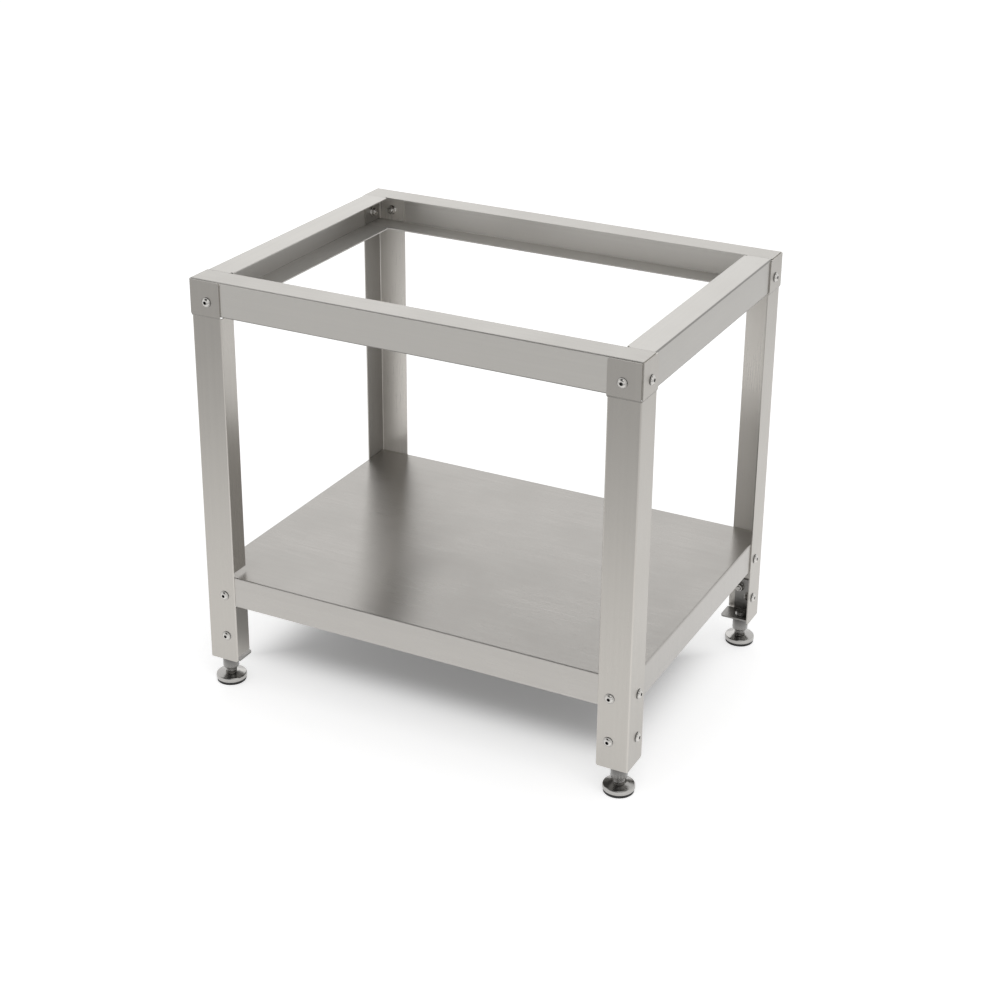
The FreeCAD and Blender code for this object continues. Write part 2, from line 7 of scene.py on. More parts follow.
import logging
import math
from abc import ABC, abstractmethod
from collections.abc import Callable, Iterator
from dataclasses import dataclass, field
from enum import Enum
from functools import cache, partial, reduce

import bmesh
import bpy
from mathutils import Matrix, Vector


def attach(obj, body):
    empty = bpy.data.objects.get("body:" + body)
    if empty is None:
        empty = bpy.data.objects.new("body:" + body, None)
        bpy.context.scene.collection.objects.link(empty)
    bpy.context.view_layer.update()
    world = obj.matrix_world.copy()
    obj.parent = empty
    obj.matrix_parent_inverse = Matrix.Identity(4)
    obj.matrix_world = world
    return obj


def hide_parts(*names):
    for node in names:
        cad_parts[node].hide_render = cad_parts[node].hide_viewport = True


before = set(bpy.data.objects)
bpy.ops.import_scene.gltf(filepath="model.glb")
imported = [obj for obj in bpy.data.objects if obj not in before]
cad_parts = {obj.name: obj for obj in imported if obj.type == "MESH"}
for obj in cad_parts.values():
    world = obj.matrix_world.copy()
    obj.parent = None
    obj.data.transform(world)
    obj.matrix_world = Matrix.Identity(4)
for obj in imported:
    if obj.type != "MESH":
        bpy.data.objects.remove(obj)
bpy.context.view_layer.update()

MM = 0.001
HALF_WIDTH = 0.4
HALF_DEPTH = 0.3
MID_RAIL_LEVEL = 0.7
MERGE_DISTANCE = 1e-7
SHARP_DEGREES = 32.0
STAND = "stand"
SHADE = "shade"
log = logging.getLogger("oven_table")

Triple = tuple[float, float, float]
Pair = tuple[float, float]
Profile = list[Pair]
Ring = list[Vector]
Seat = tuple[Vector, Vector]
Shading = Callable[[Vector], float]
Piece = bpy.types.Object
Socket = bpy.types.NodeSocket
Feed = Socket | float | tuple[float, ...]


class Corner(Enum):
    """A corner of the table: its name, its side along X and Y, and its quarter turns."""

    FRONT_LEFT = ("front_left", -1, -1, 0)
    FRONT_RIGHT = ("front_right", 1, -1, 1)
    REAR_RIGHT = ("rear_right", 1, 1, 2)
    REAR_LEFT = ("rear_left", -1, 1, 3)

    @property
    def label(self) -> str:
        """Name of the corner, as the CAD nodes spell it."""
        return self.value[0]

    def spot(self, inset: float) -> Vector:
        """Finds the point of the floor that lies this far inside both outer faces."""
        _, side_x, side_y, _ = self.value
        return Vector((side_x * (HALF_WIDTH - inset), side_y * (HALF_DEPTH - inset), 0.0))

    def frame(self) -> Matrix:
        """Gives the corner's own frame, whose X and Y run inward from the outer faces.

        Returns:
            The placement of that frame in the table's frame.
        """
        _, side_x, side_y, turns = self.value
        turn = Matrix.Rotation(turns * math.pi / 2, 4, "Z")
        return Matrix.Translation((side_x * HALF_WIDTH, side_y * HALF_DEPTH, 0)) @ turn


class Brushing(Enum):
    """Direction of the fine lines that the brushing belt leaves in a sheet."""

    ALONG_WIDTH = (1.0, 0.0, 0.0)
    ALONG_DEPTH = (0.0, 1.0, 0.0)
    ALONG_HEIGHT = (0.0, 0.0, 1.0)


@dataclass
class NodeBench:
    """Adds and joins the nodes of one material or world.

    Attributes:
        tree: The nodes.
        output: The shader or background that the nodes lead to.
    """

    tree: bpy.types.NodeTree
    output: bpy.types.Node

    def add(self, kind: str, **settings: object) -> bpy.types.Node:
        """Adds a node and sets its properties.

        Args:
            kind: The node's type, as Blender names it.
            settings: Properties of the node.

        Returns:
            The new node.
        """
        node = self.tree.nodes.new(kind)
        for name, value in settings.items():
            setattr(node, name, value)
        return node

    def feed(self, value: Feed, target: Socket) -> None:
        """Joins an output to an input, or sets the input to a constant.

        Args:
            value: The output or the constant.
            target: The input.
        """
        if isinstance(value, Socket):
            self.tree.links.new(value, target)
        else:
            target.default_value = value

    def give(self, name: str, value: Feed) -> None:
        """Feeds an input of the shader or background."""
        self.feed(value, self.output.inputs[name])

    def place(self) -> Socket:
        """Gives the point that is shaded, in the piece's own coordinates."""
        return self.add("ShaderNodeTexCoord").outputs["Object"]

    def normal(self) -> Socket:
        """Gives the direction that the surface looks in."""
        return self.add("ShaderNodeNewGeometry").outputs["Normal"]

    def noise(self, coordinates: Socket, scale: Triple, shift: float, detail: float = 3.0) -> Socket:
        """Adds noise that is stretched along the axes.

        Args:
            coordinates: Where the noise is read.
            scale: Features per metre along each axis.
            shift: Offset that keeps two finishes from looking the same.
            detail: Octaves of the noise.

        Returns:
            The noise, from 0 to 1.
        """
        mapping = self.add("ShaderNodeMapping")
        texture = self.add("ShaderNodeTexNoise")
        self.feed(coordinates, mapping.inputs["Vector"])
        self.feed((shift, 1.7 * shift, 2.3 * shift), mapping.inputs["Location"])
        self.feed(scale, mapping.inputs["Scale"])
        self.feed(mapping.outputs["Vector"], texture.inputs["Vector"])
        self.feed(1.0, texture.inputs["Scale"])
        self.feed(detail, texture.inputs["Detail"])
        return texture.outputs["Fac"]

    def ease(self, source: Socket, start: float, end: float, low: Feed, high: Feed,
             shape: str = "SMOOTHSTEP") -> Socket:
        """Eases from one value to another as the source goes from start to end.

        Args:
            source: The value that is followed.
            start: Where the change starts.
            end: Where the change ends.
            low: Value up to the start.
            high: Value past the end.
            shape: How the change runs, as Blender names it.

        Returns:
            The eased value.
        """
        node = self.add("ShaderNodeMapRange", interpolation_type=shape)
        values = {"From Min": start, "From Max": end, "To Min": low, "To Max": high, "Value": source}
        for name, value in values.items():
            self.feed(value, node.inputs[name])
        return node.outputs["Result"]

    def spread(self, source: Socket, low: float, high: float) -> Socket:
        """Spreads noise, most of which lies from 0.3 to 0.7, between two values."""
        return self.ease(source, 0.3, 0.7, low, high, "LINEAR")

    def math(self, operation: str, *values: Feed) -> Socket:
        """Works out one step of arithmetic.

        Args:
            operation: The step, as Blender names it.
            values: One or two values, each an output or a number.

        Returns:
            The result.
        """
        node = self.add("ShaderNodeMath", operation=operation)
        for value, target in zip(values, node.inputs):
            self.feed(value, target)
        return node.outputs[0]

    def vector(self, operation: str, *values: Feed) -> Socket:
        """Works out one step of arithmetic with vectors.

        Args:
            operation: The step, as Blender names it.
            values: Two vectors, each an output or fixed.

        Returns:
            The result, which is a number for a dot product.
        """
        node = self.add("ShaderNodeVectorMath", operation=operation)
        for value, target in zip(values, node.inputs):
            self.feed(value, target)
        return node.outputs["Value" if operation == "DOT_PRODUCT" else "Vector"]

    def sides(self, vector: Socket) -> dict[str, Socket]:
        """Splits a vector.

        Args:
            vector: The vector.

        Returns:
            Its X, Y and Z.
        """
        node = self.add("ShaderNodeSeparateXYZ")
        self.feed(vector, node.inputs[0])
        return {axis: node.outputs[axis] for axis in "XYZ"}

    def mix(self, amount: Socket, first: Feed, second: Feed) -> Socket:
        """Mixes two colours.

        Args:
            amount: Share of the second colour.
            first: Colour where the share is 0.
            second: Colour where the share is 1.

        Returns:
            The mixed colour.
        """
        node = self.add("ShaderNodeMix", data_type="RGBA")
        for value, number in ((amount, 0), (first, 6), (second, 7)):
            self.feed(value, node.inputs[number])
        return node.outputs[2]

    def tint(self, amount: Socket, colour: Triple, dark: float, light: float) -> Socket:
        """Varies a colour between two factors, by the share of the lighter one."""
        ends = [(*(factor * part for part in colour), 1.0) for factor in (dark, light)]
        return self.mix(amount, *ends)

    def shaded(self, colour: Socket) -> Socket:
        """Darkens a colour by the painted shade that the mesh holds at each of its points."""
        shade = self.add("ShaderNodeAttribute", attribute_name=SHADE).outputs["Fac"]
        return self.mix(shade, colour, (0.0, 0.0, 0.0, 1.0))

    def bump(self, height: Socket, depth: float) -> None:
        """Gives the shader a relief.

        Args:
            height: The relief, from 0 to 1.
            depth: Height that 1 stands for.
        """
        node = self.add("ShaderNodeBump")
        self.feed(depth, node.inputs["Distance"])
        self.feed(height, node.inputs["Height"])
        self.give("Normal", node.outputs["Normal"])

    def seen_directly(self) -> Socket:
        """Tells rays that show the surround from rays that only light things.

        Returns:
            1 for camera, glossy and transmission rays, and 0 for the rest.
        """
        path = self.add("ShaderNodeLightPath").outputs
        mirrored = self.math("MAXIMUM", path["Is Glossy Ray"], path["Is Transmission Ray"])
        return self.math("MAXIMUM", path["Is Camera Ray"], mirrored)

    def unless_in_view(self, level: Socket) -> Socket:
        """Keeps a darker part of the studio out of the picture itself, where it counts as 1."""
        path = self.add("ShaderNodeLightPath").outputs
        return self.math("MAXIMUM", level, path["Is Camera Ray"])


@dataclass(frozen=True)
class Finish(ABC):
    """The finish of some pieces, which makes one material."""

    name: str

    @abstractmethod
    def set_up(self, bench: NodeBench) -> None:
        """Sets up the finish.

        Args:
            bench: The material's bench.
        """


@dataclass(frozen=True)
class BrushedSteel(Finish):
    """Stainless sheet with fine brushed lines, broad faint bands, a cloudy haze, and painted light and
    shade.

    Attributes:
        brushing: Direction of the lines.
        shift: Offset that keeps two finishes from having the same lines.
        colour: Colour of the flat outer faces.
        contrast: How much the bands and the haze change the colour.
        inside: Share of dull mill finish on the insides of the folded parts.
        inside_shine: Painted light that makes the insides paler.
        painted_side_shade: Painted shade that makes the insides darker that look along the width.
        bend_shine: Painted highlight on the folds, or painted shade where it is below 0.
        crease_shine: Painted highlight that makes the folds of the insides paler beyond that.
        flange_shine: Painted light that makes faces paler that look to the front or back.
        painted_underside_shade: Painted shade that makes faces darker that look down.
    """

    brushing: Brushing
    shift: float
    colour: Triple
    roughness: float = 0.38
    haze: float = 0.02
    anisotropy: float = 0.75
    line_width: float = 0.4 * MM
    line_length: float = 60 * MM
    band_width: float = 5 * MM
    band_length: float = 700 * MM
    clouds_per_metre: float = 9.0
    line_depth: float = 0.004 * MM
    contrast: float = 0.025
    inside: float = 0.5
    inside_shine: float = 0.35
    painted_side_shade: float = 0.25
    bend_shine: float = 0.15
    crease_shine: float = 1.2
    flange_shine: float = 0.0
    painted_underside_shade: float = 0.55

    def stretched(self, width: float, length: float) -> Triple:
        """Turns a feature's size across and along the lines into features per metre."""
        return tuple(1 / length if along else 1 / width for along in self.brushing.value)

    def unfolded(self, bench: NodeBench) -> Socket:
        """Turns the coordinates over on flanges that are folded down across the lines.

        Args:
            bench: The material's bench.

        Returns:
            Coordinates in which the lines run along the brushing on every flange.
        """
        place = bench.place()
        parts = bench.sides(place)
        folded = bench.add("ShaderNodeCombineXYZ")
        along, spare = ("X", "Y") if self.brushing is Brushing.ALONG_WIDTH else ("Y", "X")
        bench.feed(parts["Z"], folded.inputs[along])
        bench.feed(parts[along], folded.inputs["Z"])
        bench.feed(parts[spare], folded.inputs[spare])
        facing_along = bench.vector("DOT_PRODUCT", bench.normal(), self.brushing.value)
        is_folded = bench.math("GREATER_THAN", bench.math("ABSOLUTE", facing_along), 0.7)
        choice = bench.add("ShaderNodeMix", data_type="VECTOR")
        for value, number in ((is_folded, 0), (place, 4), (folded.outputs["Vector"], 5)):
            bench.feed(value, choice.inputs[number])
        return choice.outputs[1]

    def across_lines(self, bench: NodeBench) -> Socket:
        """Finds the direction across the lines, in which brushed steel smears reflections.

        Args:
            bench: The material's bench.

        Returns:
            The direction. A small nudge keeps it from vanishing on flanges across the lines.
        """
        nudge = tuple(0.002 * (1 - part) for part in self.brushing.value)
        across = bench.vector("CROSS_PRODUCT", bench.normal(), self.brushing.value)
        return bench.vector("ADD", across, nudge)

    def mill_and_painted_insides(self, bench: NodeBench) -> Socket:
        """Finds the insides of the folded parts: the mill's duller finish and their painted light.

        Args:
            bench: The material's bench.

        Returns:
            1 on faces that look inward near the table's outline or up below its top, and 0 on
            the others.
        """
        place, normal = bench.place(), bench.normal()
        level_part = bench.vector("MULTIPLY", normal, (1 / HALF_WIDTH, 1 / HALF_DEPTH, 0.0))
        outward = bench.vector("DOT_PRODUCT", level_part, place)
        inward = bench.ease(outward, -0.95, -0.9, 1.0, 0.0)
        faces_up = bench.ease(bench.sides(normal)["Z"], 0.5, 0.9, 0.0, 1.0)
        is_low = bench.ease(bench.sides(place)["Z"], MID_RAIL_LEVEL, MID_RAIL_LEVEL + 0.02, 1.0, 0.0)
        return bench.math("MAXIMUM", inward, bench.math("MULTIPLY", faces_up, is_low))

    def shine(self, bench: NodeBench, mill_and_painted_insides: Socket) -> Socket:
        """Finds the painted light and shade on each side, fold and inside of the steel.

        Args:
            bench: The material's bench.
            mill_and_painted_insides: Where the mill's finish is left and the insides' light and shade
                are painted.

        Returns:
            Factor for the colour, 1 on flat outer faces.
        """
        slopes = bench.sides(bench.normal())
        towards_x, towards_y, towards_z = (bench.math("ABSOLUTE", slopes[axis]) for axis in "XYZ")
        largest = bench.math("MAXIMUM", bench.math("MAXIMUM", towards_x, towards_y), towards_z)
        inner_fold = bench.math("MULTIPLY", mill_and_painted_insides, bench.ease(largest, 0.8, 0.98, 1.0, 0.0))
        inner_side = bench.math("MULTIPLY", mill_and_painted_insides, towards_x)
        # Painted light and shade: folds, undersides, insides, front and back faces, inner creases, and
        # insides that look along the width.
        factors = (
            bench.ease(largest, 0.9, 0.995, 1.0 + self.bend_shine, 1.0),
            bench.ease(slopes["Z"], -0.3, -0.1, 1.0 - self.painted_underside_shade, 1.0),
            bench.ease(mill_and_painted_insides, 0.0, 1.0, 1.0, 1.0 + self.inside_shine),
            bench.ease(towards_y, 0.5, 0.9, 1.0, 1.0 + self.flange_shine),
            bench.ease(inner_fold, 0.0, 1.0, 1.0, 1.0 + self.crease_shine),
            bench.ease(inner_side, 0.3, 0.9, 1.0, 1.0 - self.painted_side_shade),
        )
        return reduce(lambda product, factor: bench.math("MULTIPLY", product, factor), factors)

    def set_up(self, bench: NodeBench) -> None:
        """Sets up the finish.

        Args:
            bench: The material's bench.
        """
        place = self.unfolded(bench)
        lines = bench.noise(place, self.stretched(self.line_width, self.line_length), self.shift)
        bands = bench.noise(place, self.stretched(self.band_width, self.band_length), self.shift + 5)
        haze = bench.noise(place, (self.clouds_per_metre,) * 3, self.shift + 11, detail=4.0)

        light = bench.math("ADD", bench.spread(bands, 0.0, 0.6), bench.spread(haze, 0.0, 0.4))
        tint = bench.tint(light, self.colour, 1 - self.contrast, 1 + self.contrast)
        mill_and_painted_insides = self.mill_and_painted_insides(bench)
        # The colour is scaled by the painted light and shade.
        painted_lit_colour = bench.add("ShaderNodeVectorMath", operation="SCALE")
        bench.feed(tint, painted_lit_colour.inputs[0])
        bench.feed(self.shine(bench, mill_and_painted_insides), painted_lit_colour.inputs["Scale"])
        bench.give("Base Color", painted_lit_colour.outputs["Vector"])
        fine = bench.spread(lines, self.roughness - 0.03, self.roughness + 0.03)
        bench.give("Roughness", bench.math("ADD", fine, bench.spread(haze, -self.haze, self.haze)))
        bench.bump(lines, self.line_depth)
        bench.give("Tangent", self.across_lines(bench))
        bench.give("Metallic", bench.ease(mill_and_painted_insides, 0.0, 1.0, 1.0, 1.0 - self.inside))
        bench.give("Anisotropic", self.anisotropy)


@dataclass(frozen=True)
class TurnedSteel(Finish):
    """Steel from a lathe, with faint rings about its own axis."""

    colour: Triple = (0.46, 0.45, 0.435)
    roughness: float = 0.18
    ring_width: float = 0.35 * MM
    ring_depth: float = 0.01 * MM
    stains_per_metre: float = 90.0

    def set_up(self, bench: NodeBench) -> None:
        """Sets up the finish.

        Args:
            bench: The material's bench.
        """
        place = bench.place()
        parts = bench.sides(place)
        squares = [bench.math("MULTIPLY", parts[axis], parts[axis]) for axis in "XY"]
        rings = bench.add("ShaderNodeCombineXYZ")
        bench.feed(bench.math("SQRT", bench.math("ADD", *squares)), rings.inputs["X"])
        bench.feed(parts["Z"], rings.inputs["Z"])
        per_metre = 1 / self.ring_width
        lines = bench.noise(rings.outputs["Vector"], (per_metre, 1.0, per_metre), 3.0)
        stains = bench.noise(place, (self.stains_per_metre,) * 3, 8.0)

        bench.give("Base Color", bench.shaded(bench.tint(stains, self.colour, 0.9, 1.06)))
        fine = bench.spread(lines, self.roughness - 0.05, self.roughness + 0.05)
        bench.give("Roughness", bench.math("ADD", fine, bench.spread(stains, -0.03, 0.05)))
        bench.bump(lines, self.ring_depth)
        bench.give("Metallic", 1.0)


@dataclass(frozen=True)
class SatinSteel(Finish):
    """Plain steel with a fine, even grain: mill plate, bolts, nuts and threads."""

    colour: Triple
    roughness: float
    grain_width: float = 0.25 * MM
    grain_depth: float = 0.01 * MM
    stains_per_metre: float = 140.0

    def set_up(self, bench: NodeBench) -> None:
        """Sets up the finish.

        Args:
            bench: The material's bench.
        """
        place = bench.place()
        grain = bench.noise(place, (1 / self.grain_width,) * 3, 2.0)
        stains = bench.noise(place, (self.stains_per_metre,) * 3, 6.0)

        bench.give("Base Color", bench.shaded(bench.tint(stains, self.colour, 0.86, 1.08)))
        fine = bench.spread(grain, self.roughness - 0.04, self.roughness + 0.04)
        bench.give("Roughness", bench.math("ADD", fine, bench.spread(stains, -0.05, 0.05)))
        bench.bump(grain, self.grain_depth)
        bench.give("Metallic", 1.0)


@dataclass(frozen=True)
class Rubber(Finish):
    """Moulded rubber with a fine matt skin and a little dust."""

    colour: Triple = (0.012, 0.012, 0.013)
    dust: Triple = (0.035, 0.034, 0.033)
    skin_width: float = 0.4 * MM
    skin_depth: float = 0.05 * MM
    specks_per_metre: float = 160.0

    def set_up(self, bench: NodeBench) -> None:
        """Sets up the finish.

        Args:
            bench: The material's bench.
        """
        place = bench.place()
        skin = bench.noise(place, (1 / self.skin_width,) * 3, 1.0)
        dust = bench.noise(place, (self.specks_per_metre,) * 3, 4.0)
        bench.give("Base Color", bench.mix(dust, (*self.colour, 1.0), (*self.dust, 1.0)))
        bench.give("Roughness", bench.spread(dust, 0.55, 0.75))
        bench.bump(skin, self.skin_depth)


@dataclass(frozen=True)
class PaleFloor(Finish):
    """A matt floor that shows nearly white and keeps the table's shadow, deepened by a painted shadow.

    Attributes:
        lift_under_table: How much paler the floor shows in the painted shadow under the table.
        lift_in_open: How much paler it shows elsewhere.
        painted_shadow_middle: Middle of the painted shadow along the width.
        painted_shadow_x: Distances from there between which the painted shadow fades.
        painted_shadow_y: The same along the depth.
        painted_dark_band_y: Middle of a painted dark band, which only reflections show.
        painted_dark_band_reach: Distances from there between which the band fades.
        painted_dimming_x: Where the painted dimming of the floor's reflections runs towards the right.
        painted_dimming: How bright those reflections still are there.
    """

    colour: Triple = (0.8, 0.8, 0.8)
    lift_under_table: float = 0.12
    lift_in_open: float = 0.57
    painted_shadow_middle: float = -0.03
    painted_shadow_x: Pair = (0.25, 0.43)
    painted_shadow_y: Pair = (0.09, 0.25)
    painted_dark_band_y: float = -2.1
    painted_dark_band_reach: Pair = (0.1, 1.7)
    painted_dimming_x: Pair = (0.8, 2.0)
    painted_dimming: float = 0.4

    def lift(self, bench: NodeBench) -> Socket:
        """Finds how much paler the floor shows, least in the painted shadow and in the painted dark
        band.

        Args:
            bench: The material's bench.

        Returns:
            The lift at each place on the floor.
        """
        parts = bench.sides(bench.place())
        lifts = []
        shadow = (("X", self.painted_shadow_middle, self.painted_shadow_x), ("Y", 0.0, self.painted_shadow_y))
        for axis, middle, reach in shadow:
            away = bench.math("ABSOLUTE", bench.math("SUBTRACT", parts[axis], middle))
            lifts.append(bench.ease(away, *reach, 0.0, 1.0))
        outside = bench.math("MAXIMUM", *lifts)
        near = bench.ease(outside, 0.0, 1.0, self.lift_under_table, self.lift_in_open)
        from_band = bench.math("ABSOLUTE", bench.math("SUBTRACT", parts["Y"], self.painted_dark_band_y))
        band = bench.ease(from_band, *self.painted_dark_band_reach, 0.0, 1.0)
        right = bench.ease(parts["X"], *self.painted_dimming_x, 1.0, self.painted_dimming)
        shown = bench.unless_in_view(bench.math("MULTIPLY", band, right))
        return bench.math("MULTIPLY", near, shown)

    def set_up(self, bench: NodeBench) -> None:
        """Sets up the finish.

        Args:
            bench: The material's bench.
        """
        bench.give("Base Color", (*self.colour, 1.0))
        bench.give("Roughness", 1.0)
        bench.give("Specular IOR Level", 0.0)
        bench.give("Emission Color", (1.0, 1.0, 1.0, 1.0))
        # The floor glows by the lift: less under the table, which paints a shadow, and less in
        # reflections of the dark band and towards the right.
        lift = bench.math("MULTIPLY", bench.seen_directly(), self.lift(bench))
        bench.give("Emission Strength", lift)


FRAME_ALONG_WIDTH = BrushedSteel(
    "frame_steel_along_width", Brushing.ALONG_WIDTH, 0.0, (0.548, 0.532, 0.504),
)
# The rails along the depth get a darker colour than those along the width, as painted shade, and
# painted dark lines on their folds.
FRAME_ALONG_DEPTH = BrushedSteel(
    "frame_steel_along_depth", Brushing.ALONG_DEPTH, 20.0, (0.482, 0.468, 0.444), bend_shine=-0.45,
)
LEG_STEEL = BrushedSteel(
    "leg_steel", Brushing.ALONG_HEIGHT, 40.0, (0.492, 0.472, 0.441),
    roughness=0.3, anisotropy=0.7, inside_shine=0.6, painted_side_shade=0.6,
)
# The shelf gets a darker colour than the frame, as painted shade from the frame above it, and painted
# light on its front and back faces.
SHELF_STEEL = BrushedSteel(
    "shelf_steel", Brushing.ALONG_WIDTH, 60.0, (0.443, 0.427, 0.405),
    roughness=0.3, haze=0.015, anisotropy=0.95, inside=0.0, inside_shine=0.0, crease_shine=0.0,
    flange_shine=0.18,
)
BRACKET_STEEL = SatinSteel("bracket_steel", (0.3, 0.292, 0.28), 0.38)
BOLT_STEEL = SatinSteel("bolt_steel", (0.62, 0.605, 0.58), 0.13)
THREAD_STEEL = SatinSteel("thread_steel", (0.4, 0.392, 0.38), 0.28)
FOOT_STEEL = TurnedSteel("foot_steel")
FOOT_RUBBER = Rubber("black_rubber")
FLOOR_PAINT = PaleFloor("pale_floor")
SHEET_FINISHES = {
    "rail_left": FRAME_ALONG_DEPTH,
    "rail_right": FRAME_ALONG_DEPTH,
    "rail_": FRAME_ALONG_WIDTH,
    "leg_": LEG_STEEL,
    "corner_angle_": LEG_STEEL,
    "foot_bracket_": BRACKET_STEEL,
    "shelf_stiffener": SHELF_STEEL,
    "undershelf": SHELF_STEEL,
}


@cache
def material_of(finish: Finish) -> bpy.types.Material:
    """Gives the material of a finish, which is made on first use.

    Args:
        finish: The finish.

    Returns:
        Its material.
    """
    material = bpy.data.materials.new(finish.name)
    material.use_nodes = True
    shader = next(node for node in material.node_tree.nodes if node.type == "BSDF_PRINCIPLED")
    finish.set_up(NodeBench(material.node_tree, shader))
    return material


@dataclass
class MeshBench:
    """Gathers closed surfaces, each lofted through rings of points, into one mesh."""

    points: list[Vector] = field(default_factory=list)
    shades: list[float] = field(default_factory=list)
    faces: list[tuple[int, ...]] = field(default_factory=list)

    def loft(self, rings: list[Ring], placement: Matrix, shade_at: Shading) -> None:
        """Adds a surface through rings of points, each closed by a single point at its ends.

        Args:
            rings: The rings in order. Inner ones have the same number of points.
            placement: Where the surface goes.
            shade_at: How dark the surface is at a point of a ring, from 0 to 1.
        """
        starts = []
        for ring in rings:
            starts.append(len(self.points))
            self.points += [placement @ point for point in ring]
            self.shades += [shade_at(point) for point in ring]
        for low, high, a, b in zip(rings, rings[1:], starts, starts[1:]):
            count = max(len(low), len(high))
            for i in range(count):
                j = (i + 1) % count
                if len(low) == 1:
                    self.faces.append((a, b + j, b + i))
                elif len(high) == 1:
                    self.faces.append((a + i, a + j, b))
                else:
                    self.faces.append((a + i, a + j, b + j, b + i))

    def to_object(self, name: str) -> Piece:
        """Turns what was gathered into an object.

        Args:
            name: Name of the piece.

        Returns:
            The object, in the scene.
        """
        mesh = bpy.data.meshes.new(name)
        mesh.from_pydata(self.points, [], self.faces)
        mesh.attributes.new(SHADE, "FLOAT", "POINT").data.foreach_set("value", self.shades)
        shape = bmesh.new()
        shape.from_mesh(mesh)
        bmesh.ops.remove_doubles(shape, verts=shape.verts, dist=MERGE_DISTANCE)
        bmesh.ops.recalc_face_normals(shape, faces=shape.faces)
        shape.to_mesh(mesh)
        shape.free()
        mesh.shade_smooth()
        mesh.set_sharp_from_angle(angle=math.radians(SHARP_DEGREES))
        piece = bpy.data.objects.new(name, mesh)
        bpy.context.scene.collection.objects.link(piece)
        return piece


def ring_of(radius_at: Callable[[float], float], level: float, count: int) -> Ring:
    """Draws a ring whose radius depends on the angle.

    Args:
        radius_at: Radius at an angle.
        level: Height of the ring.
        count: Number of points, evenly spaced.

    Returns:
        The ring's points.
    """
    angles = [2 * math.pi * step / count for step in range(count)]
    return [
        Vector((radius_at(angle) * math.cos(angle), radius_at(angle) * math.sin(angle), level))
        for angle in angles
    ]


def round_ring(radius: float, level: float, count: int) -> Ring:
    """Draws a round ring, or its middle point where the radius is 0."""
    return ring_of(lambda angle: radius, level, count if radius else 1)


def hexagon_ring(across_flats: float, level: float, count: int, within: float = math.inf) -> Ring:
    """Draws a hexagon, which a circle may trim at its corners.

    Args:
        across_flats: Width between opposite sides.
        level: Height of the ring.
        count: Number of points, a multiple of 12.
        within: Radius that trims the corners.

    Returns:
        The ring's points.
    """
    def radius_at(angle: float) -> float:
        """Distance of the trimmed hexagon from its middle."""
        past_flat = (angle + math.pi / 6) % (math.pi / 3) - math.pi / 6
        return min(across_flats / 2 / math.cos(past_flat), within)

    return ring_of(radius_at, level, count)


def turned_rings(profile: Profile, count: int) -> list[Ring]:
    """Draws round rings through a profile of radius and level."""
    return [round_ring(radius, level, count) for radius, level in profile]


@dataclass(frozen=True)
class Thread:
    """A right-handed screw thread with flat crests and roots.

    Attributes:
        radius: Radius of the crests.
        pitch: Rise in one turn.
        count: Points in each ring.
        steepness: How fast the flanks fall. More than 1 leaves flat roots.
        crest: Share of the fall that the flat crests take up.
    """

    radius: float
    pitch: float
    count: int
    rings_per_turn: int = 8
    depth_per_pitch: float = 0.6
    steepness: float = 1.35
    crest: float = 0.18

    @property
    def depth(self) -> float:
        """Depth of the thread below its crests."""
        return self.depth_per_pitch * self.pitch

    def rings(self, low: float, high: float) -> list[Ring]:
        """Draws the thread from one level up to another, run out at both ends.

        Args:
            low: Level of the lower end.
            high: Level of the upper end.

        Returns:
            The thread's rings, from low to high.
        """
        steps = max(2, round((high - low) / self.pitch * self.rings_per_turn))
        rings = []
        for step in range(steps + 1):
            level = low + (high - low) * step / steps
            from_end = min(level - low, high - level)
            rings.append(ring_of(partial(self.radius_at, level, from_end), level, self.count))
        return rings

    def radius_at(self, level: float, from_end: float, angle: float) -> float:
        """Finds the radius of the thread's flank, crest or root.

        Args:
            level: Height of the point.
            from_end: Distance from the nearer end, whose chamfer cuts the crests down.
            angle: Angle about the axis.

        Returns:
            The radius.
        """
        phase = (level / self.pitch - angle / (2 * math.pi)) % 1
        fall = self.steepness * abs(2 * phase - 1) - self.crest
        flank = self.depth * min(1.0, max(0.0, fall))
        return self.radius - max(flank, self.depth - from_end)


def unshaded(point: Vector) -> float:
    """Leaves every point as light as its finish."""
    return 0.0


def facing(origin: Vector, outward: Vector, spin: float) -> Matrix:
    """Places a piece with its own Z axis pointing outward and spun about that axis."""
    turn = outward.to_track_quat("Z", "Y").to_matrix().to_4x4()
    return Matrix.Translation(origin) @ turn @ Matrix.Rotation(spin, 4, "Z")


def dress(piece: Piece, material: bpy.types.Material) -> None:
    """Gives a piece one material."""
    piece.data.materials.clear()
    piece.data.materials.append(material)


@dataclass(frozen=True)
class BoltRow:
    """One row of eight bolts and nuts, two at each corner."""

    group: str
    inset: float
    level: float
    seat_depth: float
    grip: float

    def seats(self) -> Iterator[Seat]:
        """Finds where the bolts go.

        Yields:
            Each bolt's seat and the direction that its head points in.
        """
        for corner in Corner:
            frame_of_corner = corner.frame()
            turn = frame_of_corner.to_3x3()
            front = Vector((self.inset, self.seat_depth, self.level))
            side = Vector((self.seat_depth, self.inset, self.level))
            yield frame_of_corner @ front, turn @ Vector((0, -1, 0))
            yield frame_of_corner @ side, turn @ Vector((-1, 0, 0))


BOLT_ROWS = (
    BoltRow("top_frame", 33 * MM, 713 * MM, 0.0, 6.1 * MM),
    BoltRow("shelf", 37 * MM, 179 * MM, 2 * MM, 3.6 * MM),
    BoltRow("foot_bracket", 37 * MM, 100 * MM, 2 * MM, 5.1 * MM),
)


